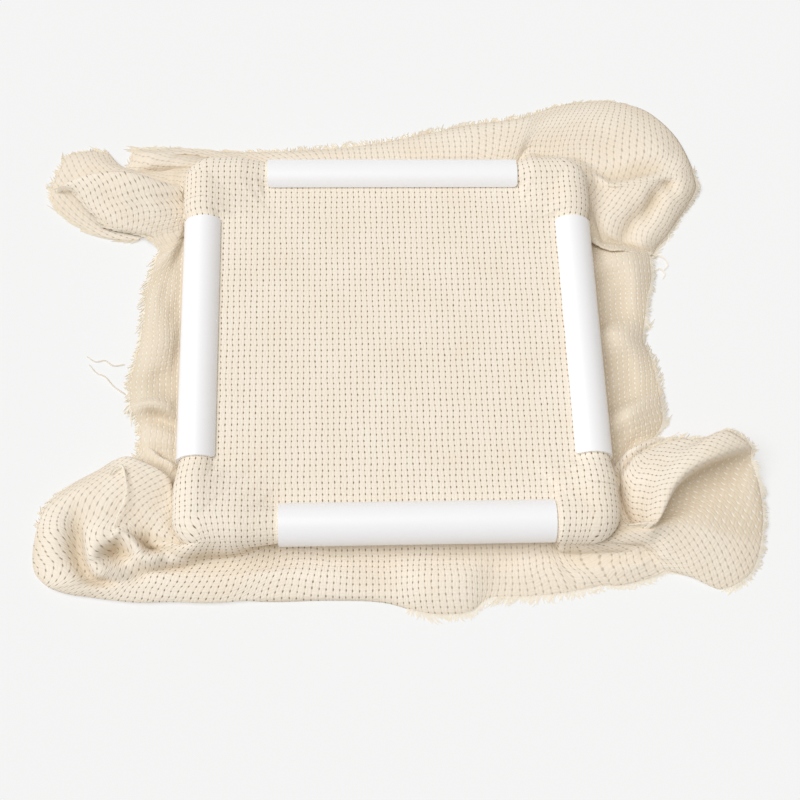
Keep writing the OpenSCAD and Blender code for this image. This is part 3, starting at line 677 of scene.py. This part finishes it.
# pushes cloth points out of the table, tubes, elbows and clamps: a point inside a round moves
# straight away from the round's axis to its surface
def pushOut(x, s, keep):
    low, half, bend = s["restHeight"], layout["halfAxis"], layout["bendRadius"]
    px, py, pz = x[..., 0], x[..., 1], x[..., 2]
    np.maximum(pz, low, out=pz)
    edge = half - layout["elbowLeg"] - keep["elbowRoom"]
    for side, (c, k) in enumerate(sideTurns):
        shift = layout["clampShift"][side]
        along, out = px * c + py * k, -half - (-px * k + py * c)
        up = pz - layout["axisHeight"]
        r, far = np.hypot(out, up) + 1e-9, np.abs(along)
        end = np.abs(shift + np.sign(along) * (layout["clampLength"] / 2 + s["endRoom"]))
        f = np.clip((far - end) / (edge - end), 0, 1)
        limit = np.where(far < edge, mix(s["wrapRadius"], s["overRadius"], f), s["overRadius"])
        turn = np.degrees(np.arctan2(-out, up))
        clamped = np.abs(along - shift) < layout["clampLength"] / 2 + keep["clampRoom"]
        clamped &= (turn > keep["clampTurn"][0]) & (turn < keep["clampTurn"][1])
        limit = np.where(clamped & (r > keep["clampRadius"][0]), keep["clampRadius"][1], limit)
        hit = (far < half - bend) & (r < limit)
        f = np.where(hit, limit / r, 1)
        move = -out * (f - 1)
        px += np.where(hit, -move * k, 0)
        py += np.where(hit, move * c, 0)
        pz += np.where(hit, up * (f - 1), 0)
        # the bent part of the elbow at the side's start
        dx, dy = px * c + py * k + half - bend, -px * k + py * c + half - bend
        rho = np.hypot(dx, dy) + 1e-9
        q, up = rho - bend, pz - layout["axisHeight"]
        r = np.hypot(q, up) + 1e-9
        hit = (dx < 0) & (dy < 0) & (r < s["overRadius"])
        f = np.where(hit, s["overRadius"] / r, 1)
        g = np.where(hit, (q * f + bend) / rho, 1)
        dx, dy = dx * (g - 1), dy * (g - 1)
        px += np.where(hit, dx * c - dy * k, 0)
        py += np.where(hit, dx * k + dy * c, 0)
        pz += np.where(hit, up * (f - 1), 0)
    np.maximum(pz, low, out=pz)


# where each point lies in the flat cloth: straight below itself as far as the top of the tube or
# elbow, then onwards by its distance along the strip, towards a point of the cut edge. Strips of a
# clamp run square to their side, and at the corners the cut edge is shared by the hem's own length
def layFlat(points, places, own, s):
    corners = np.array(s["corners"], float)
    lengths = np.linalg.norm(np.roll(corners, -1, 0) - corners, axis=1)
    reach = np.append(0, np.cumsum(lengths))
    hem = np.linalg.norm(np.roll(points[:, -1], -1, 0) - points[:, -1], axis=1)
    hem, whole = np.append(0, np.cumsum(hem))[:-1], hem.sum()
    at, edge = [], []
    for (side, t), i in zip(places, own):
        if abs(t) <= 1:
            k = side % 2
            a, b = corners[side][k], corners[(side + 1) % 4][k]
            at.append(hem[i])
            edge.append(reach[side] + (points[i, 0, k] - a) / (b - a) * lengths[side])
    at, edge = np.array(at), np.array(edge)
    at = np.concatenate([at[-1:] - whole, at, at[:1] + whole])
    edge = np.concatenate([edge[-1:] - reach[-1], edge, edge[:1] + reach[-1]])
    place = np.interp(hem, at, edge) % reach[-1]
    loop = np.vstack([corners, corners[:1]])
    end = np.stack([np.interp(place, reach, loop[:, k]) for k in (0, 1)], 1)
    first = 1 + s["riseSteps"]
    flat = points[..., :2].copy()
    way = end - flat[:, first]
    way /= np.linalg.norm(way, axis=1, keepdims=True)
    step = np.linalg.norm(np.diff(points[:, first:], axis=1), axis=2)
    flat[:, first + 1:] = flat[:, first, None] + way[:, None] * np.cumsum(step, axis=1)[..., None]
    return flat


# how much of the table's light the holes of each column let through beyond the tube: a side's
# places from -3 to 3 are one unit, and the last column meets the first at 4.08
def holeLight(count, own, places, s):
    where = np.array([side + (t + 3) / 6 for side, t in places] + [4.08])
    at = np.array(own + [count])
    spot, level = np.array(s["light"]).T
    return np.interp(np.interp(np.arange(count), at, where), spot, level)


# how far each loose point lies below the mean of its surroundings, from 0 to 1: the share of painted
# shade laid in the cloth's hollows
def hollows(points, s):
    z = points[..., 2]
    mean = z.copy()
    for _ in range(s["hollowReach"]):
        mean = (np.roll(mean, 1, 0) + np.roll(mean, -1, 0) + 2 * mean) / 4
        wide = np.pad(mean, ((0, 0), (1, 1)), mode="edge")
        mean = (wide[:, :-2] + wide[:, 2:] + 2 * mean) / 4
    first = 1 + s["riseSteps"] + s["wrapSteps"]
    low = np.clip((mean - z + s["hollowStart"]) / s["hollowDepth"], 0, 1)
    low[:, :first] = 0
    for _ in range(2):
        low = (np.roll(low, 1, 0) + np.roll(low, -1, 0) + 2 * low) / 4
    return low


def addPointValues(mesh, name, values):
    layer = mesh.attributes.new(name, "FLOAT", "POINT")
    layer.data.foreach_set("value", values.astype(np.float32).ravel())


# closed rings round the frame from an inner ring of the panel to the hem; one face fills the
# panel. The vertex group holds the share of the thickness at each point, so that the hem ends thin.
# The point values carry the table's painted light in the holes and the painted shade in the
# cloth's hollows and on the loose cloth where that light shows
def ringMesh(name, points, flat, through, s):
    shadeAndTone = hollows(points, s)
    share = np.array(s["innerRings"])[None, :, None]
    bowl = np.clip((share[..., 0] - s["bowlFrom"]) / (1 - s["bowlFrom"]), 0, 1)
    inner = points[:, :1] * share
    edgeLift = points[:, :1, 2] - layout["panelHeight"]
    inner[..., 2] = layout["panelHeight"] + edgeLift * bowl ** 2
    shadeAndTone = np.concatenate([np.zeros(inner.shape[:2]), shadeAndTone], 1)
    points = np.concatenate([inner, points], 1)
    flat = np.concatenate([inner[..., :2], flat], 1)
    index = np.arange(points.shape[0] * points.shape[1]).reshape(points.shape[:2])
    a, b = index, np.roll(index, -1, 0)
    quads = np.stack([a[:, :-1], a[:, 1:], b[:, 1:], b[:, :-1]], -1).reshape(-1, 4)
    faces = quads.tolist() + [index[:, 0].tolist()]
    mesh = bpy.data.meshes.new(name)
    mesh.from_pydata(toModel(points).reshape(-1, 3).tolist(), [], faces)
    corner = np.append(quads.reshape(-1), index[:, 0])
    uv = mesh.uv_layers.new(name="weave")
    weave = (flat / np.array(s["pitch"])).reshape(-1, 2)
    uv.data.foreach_set("uv", weave[corner].astype(np.float32).ravel())
    after, over = s["lightRings"]
    beyond = np.clip((np.arange(points.shape[1]) - s["wrapSteps"] - after) / over, 0, 1)
    # the table's painted light in the holes, growing over a few rings past the wrap
    addPointValues(mesh, "light", through[:, None] * beyond)
    # painted shade on the loose cloth where that light shows, on top of the painted shade in the
    # hollows
    shadeAndTone = np.clip(shadeAndTone + s["lightShade"] * through[:, None] ** 2 * beyond, 0, 1)
    addPointValues(mesh, "shadeAndTone", shadeAndTone)
    mesh.polygons.foreach_set("use_smooth", np.ones(len(mesh.polygons), dtype=bool))
    obj = addObject(name, mesh)
    kept = obj.vertex_groups.new(name="whole")
    kept.add(index[:, :-1].ravel().tolist(), 1.0, "REPLACE")
    kept.add(index[:, -1].tolist(), s["hemThickness"], "REPLACE")
    return obj


places, frayedThere, strips = layStrips(cloth)
clothPoints, hemFrayed, ownColumns = joinStrips(strips, places, frayedThere, cloth)
pushOut(clothPoints[:, 1:], cloth, keepOut)
flatCloth = layFlat(clothPoints, places, ownColumns, cloth)
holeTableLight = holeLight(len(clothPoints), ownColumns, places, cloth)
sheetObj = ringMesh("cloth_sheet", clothPoints, flatCloth, holeTableLight, cloth)
print("cloth lofted:", clothPoints.shape)

# colours from 0 to 255 and lengths in cells of the weave, except depth, which is in metres. Each
# noise is its scale and detail, and each amount how far its colour covers the yarn's. Yarn and warm
# are the yarn's own colours; hole is painted shade of the space under the cloth and lit the table's
# painted light seen through the holes; the colours for the weave's low places and furrows and for the
# cloth's hollows are painted shade
clothLook = {
    "yarn": (252, 243, 229),
    "warm": (248, 236, 218),
    "hollowShade": (220, 203, 176),
    "hole": (135, 118, 96),
    "lit": (253, 246, 230),
    "grooveShade": (232, 216, 192),
    "drift": 0.5,
    "driftNoise": (0.35, 2),
    "yarnMiddle": 0.24,
    "yarnArch": (3.8, 2.7),
    "holeSize": (0.1, 0.2),
    "holeVary": (0.4, 0.35, 1.2),
    "holeNoise": (1.1, 2),
    "fineNoise": (7, 3),
    "toneNoise": (0.12, 4),
    "lowShadeShare": 0.22,
    "grooveShadeShare": 0.6,
    "hollowShadeShare": 0.75,
    "rough": 0.92,
    "gloss": 0.12,
    "sheen": (0.12, 0.5),
    "bump": 0.55,
    "fineRelief": 0.25,
    "holeRelief": 1.2,
    "depth": 0.00035,
}


# adds a Math node to its inputs' own tree; plain numbers go on its own sockets
def calc(op, *values):
    tree = next(v.id_data for v in values if hasattr(v, "links"))
    node = tree.nodes.new("ShaderNodeMath")
    node.operation = op
    for i, v in enumerate(values):
        if hasattr(v, "links"):
            tree.links.new(v, node.inputs[i])
        else:
            node.inputs[i].default_value = v
    return node.outputs[0]


def smooth(value, low, high):
    tree = value.id_data
    node = tree.nodes.new("ShaderNodeMapRange")
    node.interpolation_type = "SMOOTHSTEP"
    tree.links.new(value, node.inputs["Value"])
    node.inputs["From Min"].default_value = low
    node.inputs["From Max"].default_value = high
    return node.outputs["Result"]


def mixColour(a, b, f):
    tree = f.id_data
    node = tree.nodes.new("ShaderNodeMix")
    node.data_type = "RGBA"
    for i, v in ((6, a), (7, b)):
        if hasattr(v, "links"):
            tree.links.new(v, node.inputs[i])
        else:
            node.inputs[i].default_value = v
    tree.links.new(f, node.inputs[0])
    return node.outputs[2]


def pointValue(tree, name):
    node = tree.nodes.new("ShaderNodeAttribute")
    node.attribute_name = name
    return node.outputs["Fac"]


# two yarns side by side: the arch of the distance from each yarn's middle, times an arch along
def pairArch(across, along, s):
    off = calc("ABSOLUTE", calc("SUBTRACT", across, s["yarnMiddle"]))
    square = calc("POWER", calc("MULTIPLY", off, s["yarnArch"][0]), 2.0)
    arch = calc("MAXIMUM", calc("SUBTRACT", 1.0, square), 0.0)
    end = calc("COSINE", calc("MULTIPLY", along, s["yarnArch"][1]))
    return calc("MULTIPLY", arch, end)


# basket weave from the flat cloth's own coordinates, one unit per pair of yarns. Cells alternate
# like a chess board between an upright and a level pair; a pair's height is two rounded yarns
# across times an arch along it, and a hole sits where four cells meet. The holes take painted shade
# of the space under the cloth, turning to the table's painted light where the light values say it
# shows through; the weave's low places, its upright furrows and the cloth's hollows get painted shade
def clothMaterial(s):
    mat, tree, bsdf = addMaterial("basketWeave")
    nodes, links = tree.nodes, tree.links
    uv = nodes.new("ShaderNodeUVMap")
    uv.uv_map = "weave"
    flat = uv.outputs[0]
    shake = nodes.new("ShaderNodeVectorMath")
    shake.operation = "MULTIPLY_ADD"
    shake.inputs[1].default_value = (s["drift"], s["drift"], 0)
    links.new(addNoise(tree, flat, *s["driftNoise"])["Color"], shake.inputs[0])
    links.new(flat, shake.inputs[2])
    part = nodes.new("ShaderNodeSeparateXYZ")
    links.new(shake.outputs[0], part.inputs[0])
    u, v = part.outputs[0], part.outputs[1]
    au = calc("ABSOLUTE", calc("SUBTRACT", calc("FRACT", u), 0.5))
    av = calc("ABSOLUTE", calc("SUBTRACT", calc("FRACT", v), 0.5))
    both = calc("ADD", calc("FLOOR", u), calc("FLOOR", v))
    board = calc("PINGPONG", both, 1.0)
    level, upright = pairArch(av, au, s), pairArch(au, av, s)
    height = calc("ADD", calc("MULTIPLY", upright, board),
                  calc("MULTIPLY", level, calc("SUBTRACT", 1.0, board)))
    # holes: distance from the cell's corner, measured in hole radii that vary a little at random and
    # grow where the table's painted light is in them
    cu = calc("DIVIDE", calc("SUBTRACT", 0.5, au), s["holeSize"][0])
    cv = calc("DIVIDE", calc("SUBTRACT", 0.5, av), s["holeSize"][1])
    far = calc("SQRT", calc("ADD", calc("POWER", cu, 2.0), calc("POWER", cv, 2.0)))
    least, byLight, byNoise = s["holeVary"]
    shine = pointValue(tree, "light")
    vary = addNoise(tree, flat, *s["holeNoise"])["Fac"]
    size = calc("ADD", calc("MULTIPLY", vary, byNoise),
                calc("MULTIPLY_ADD", shine, byLight, least))
    hole = calc("SUBTRACT", 1.0, smooth(calc("DIVIDE", far, size), 0.45, 1.35))
    # an upright furrow joins the holes of a column; it is coloured with painted shade
    grooveShade = calc("SUBTRACT", 1.0, smooth(cu, 0.2, 1.1))
    fine = addNoise(tree, flat, *s["fineNoise"])["Fac"]
    tone = addNoise(tree, flat, *s["toneNoise"])["Fac"]
    # the yarn's own tone, varying at random between the yarn and warm colours
    shadeAndTone = calc("ADD", calc("MULTIPLY", fine, 0.5), calc("MULTIPLY", tone, 0.5))
    low = calc("SUBTRACT", 1.0, smooth(height, 0.0, 0.5))
    colour = mixColour(linear(*s["yarn"]), linear(*s["warm"]), smooth(shadeAndTone, 0.35, 0.65))
    # painted shade: the weave's low places and upright furrows, then the cloth's hollows and loose
    # skirts from the point values
    for tint, share, amount in (("grooveShade", low, s["lowShadeShare"]), ("grooveShade", grooveShade, s["grooveShadeShare"]),
                                ("hollowShade", pointValue(tree, "shadeAndTone"), s["hollowShadeShare"])):
        colour = mixColour(colour, linear(*s[tint]), calc("MULTIPLY", share, amount))
    # the holes: painted shade of the space under the cloth, turning to the table's painted light
    # where it shows through
    colour = mixColour(colour, mixColour(linear(*s["hole"]), linear(*s["lit"]), shine), hole)
    links.new(colour, bsdf.inputs["Base Color"])
    bsdf.inputs["Roughness"].default_value = s["rough"]
    bsdf.inputs["Specular IOR Level"].default_value = s["gloss"]
    bsdf.inputs["Sheen Weight"].default_value = s["sheen"][0]
    bsdf.inputs["Sheen Roughness"].default_value = s["sheen"][1]
    relief = calc("ADD", calc("MULTIPLY", fine, s["fineRelief"]),
                  calc("SUBTRACT", height, calc("MULTIPLY", hole, s["holeRelief"])))
    addBump(tree, bsdf, relief, s["bump"], s["depth"])
    return mat


sheetObj.data.materials.append(clothMaterial(clothLook))
solid = sheetObj.modifiers.new("thickness", "SOLIDIFY")
solid.thickness = cloth["thickness"] / 1000
solid.offset = 0
solid.vertex_group = "whole"

# slant and drift are a share kept from the yarn before and the spread of what is added; root is
# how far inside the hem a yarn starts, and rings the cloth's last ones that tell which way is out
frayed = {
    "length": (3.2, 6.2),
    "shortest": 1.2,
    "radius": 0.6,
    "gap": 0.8,
    "steps": 5,
    "rings": 5,
    "slant": (0.85, 0.28),
    "drift": (0.9, 0.35),
    "bend": 0.3,
    "droop": 0.3,
    "root": 0.8,
    "lowest": 0.45,
    "taper": 0.35,
    "colour": (254, 249, 238),
    "darker": (236, 224, 202),
    "noise": (420, 2),
    "bump": (0.5, 0.0002),
    "rough": 0.9,
    "gloss": 0.1,
}


# three-sided tapering tubes along the given paths, all in one mesh
def yarnMesh(name, paths, radius, taper):
    paths = np.array(paths)
    count, steps = paths.shape[:2]
    way = np.gradient(paths, axis=1)
    way /= np.linalg.norm(way, axis=2, keepdims=True) + 1e-9
    up = np.cross(way, [0.31, 0.22, 0.93])  # any direction that no yarn follows
    up /= np.linalg.norm(up, axis=2, keepdims=True) + 1e-9
    side = np.cross(way, up)
    r = radius * np.interp(np.linspace(0, 1, steps), [0, 0.6, 1], [1, 0.9, taper])[None, :, None]
    rings = []
    for i in range(3):
        a = 2 * math.pi * i / 3
        rings.append(paths + (up * math.cos(a) + side * math.sin(a)) * r)
    ring = np.stack(rings, 2)
    index = np.arange(count * steps * 3).reshape(count, steps, 3)
    a, b = index[:, :-1], index[:, 1:]
    quads = np.stack([a, np.roll(a, -1, 2), np.roll(b, -1, 2), b], -1).reshape(-1, 4).tolist()
    caps = index[:, -1].tolist() + index[:, 0, ::-1].tolist()
    mesh = bpy.data.meshes.new(name)
    mesh.from_pydata(toModel(ring.reshape(-1, 3)).tolist(), [], quads + caps)
    return addObject(name, mesh)


def unitRows(a):
    return a / (np.linalg.norm(a, axis=1, keepdims=True) + 1e-9)


# each frayed yarn starts just inside the hem and runs outwards with a slant and a droop
def frayEdges(points, hemFrayed, s):
    rng = np.random.default_rng(11)
    steps = np.linspace(0, 1, s["steps"])
    edge = np.concatenate([points[:, -1], points[:1, -1]])
    out = unitRows(edge - np.concatenate([points[:, -s["rings"]], points[:1, -s["rings"]]]))
    along = np.roll(points[:, -1], -1, 0) - np.roll(points[:, -1], 1, 0)
    along = unitRows(np.concatenate([along, along[:1]]))
    there = np.append(hemFrayed, hemFrayed[0])
    length = np.append(0, np.cumsum(np.linalg.norm(np.diff(edge, axis=0), axis=1)))
    number = int(length[-1] / s["gap"])
    paths, slant, drift = [], 0.0, 0.0
    for i in range(number):
        d = (i + rng.uniform(0.1, 0.9)) * s["gap"]
        p, o, a = (np.array([np.interp(d, length, q[:, k]) for k in range(3)])
                   for q in (edge, out, along))
        slant = s["slant"][0] * slant + rng.normal(0, s["slant"][1])
        drift = s["drift"][0] * drift + rng.normal(0, s["drift"][1])
        reach = max(rng.uniform(*s["length"]) + drift, s["shortest"])
        bend, droop = rng.normal(0, s["bend"]), rng.uniform(0.0, s["droop"])
        if np.interp(d, length, there) < 0.5:
            continue
        t = steps[:, None]
        path = p - o * s["root"] + (o * t + a * (slant * t + bend * t * t)) * reach
        path[:, 2] -= droop * reach * steps ** 2
        path[:, 2] = np.maximum(path[:, 2], s["lowest"])
        paths.append(path)
    return paths


# single yarns that have come loose: two on the front left fold, the rest on the table beside the
# left clamp and at the back right hem
loose = {
    "steps": 17,
    "taper": 0.6,
    "paths": [
        [(-174, -85, 16), (-171, -92, 21), (-169, -101, 22), (-170, -111, 22.5), (-173, -119, 22),
         (-176, -127, 20)],
        [(-180, -92, 19), (-176, -87, 20), (-172, -88, 21), (-170, -95, 22), (-169, -103, 22)],
        [(-176, -30, 1), (-184, -24, 1), (-190, -17, 1), (-196, -14, 1), (-201, -8, 1)],
        [(-178, -8, 1), (-185, -9, 1), (-191, -5, 1), (-197, -6, 1), (-203, -2, 1)],
        [(186, 70, 3), (190, 72, 1), (194, 70, 1), (196, 65, 1), (193, 61, 1)],
        [(182, 62, 2), (186, 60, 1), (190, 62, 1), (193, 58, 1), (191, 54, 1)],
    ],
}


def smoothPath(points, steps):
    p = np.array(points, float)
    ends = [2 * p[0] - p[1], *p, 2 * p[-1] - p[-2]]
    return curveAt(ends, np.linspace(0, len(p) - 1, steps))


def yarnMaterial(s):
    mat, tree, bsdf = addMaterial("looseYarn")
    coord = tree.nodes.new("ShaderNodeTexCoord")
    noise = addNoise(tree, coord.outputs["Object"], *s["noise"])["Fac"]
    colour = mixColour(linear(*s["colour"]), linear(*s["darker"]), noise)
    tree.links.new(colour, bsdf.inputs["Base Color"])
    addBump(tree, bsdf, noise, *s["bump"])
    bsdf.inputs["Roughness"].default_value = s["rough"]
    bsdf.inputs["Specular IOR Level"].default_value = s["gloss"]
    return mat


frayedPaths = frayEdges(clothPoints, hemFrayed, frayed)
loosePaths = [smoothPath(p, loose["steps"]) for p in loose["paths"]]
fringeObj = yarnMesh("frayed_yarns", frayedPaths, frayed["radius"], frayed["taper"])
looseObj = yarnMesh("loose_yarns", loosePaths, frayed["radius"], loose["taper"])
fringeObj.data.materials.append(yarnMaterial(frayed))
looseObj.data.materials.append(fringeObj.data.materials[0])
print("frayed edges finished")

for obj in (sheetObj, fringeObj, looseObj):
    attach(obj, "frame")
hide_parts("cloth_panel", "cloth_front", "cloth_right", "cloth_back", "cloth_left")
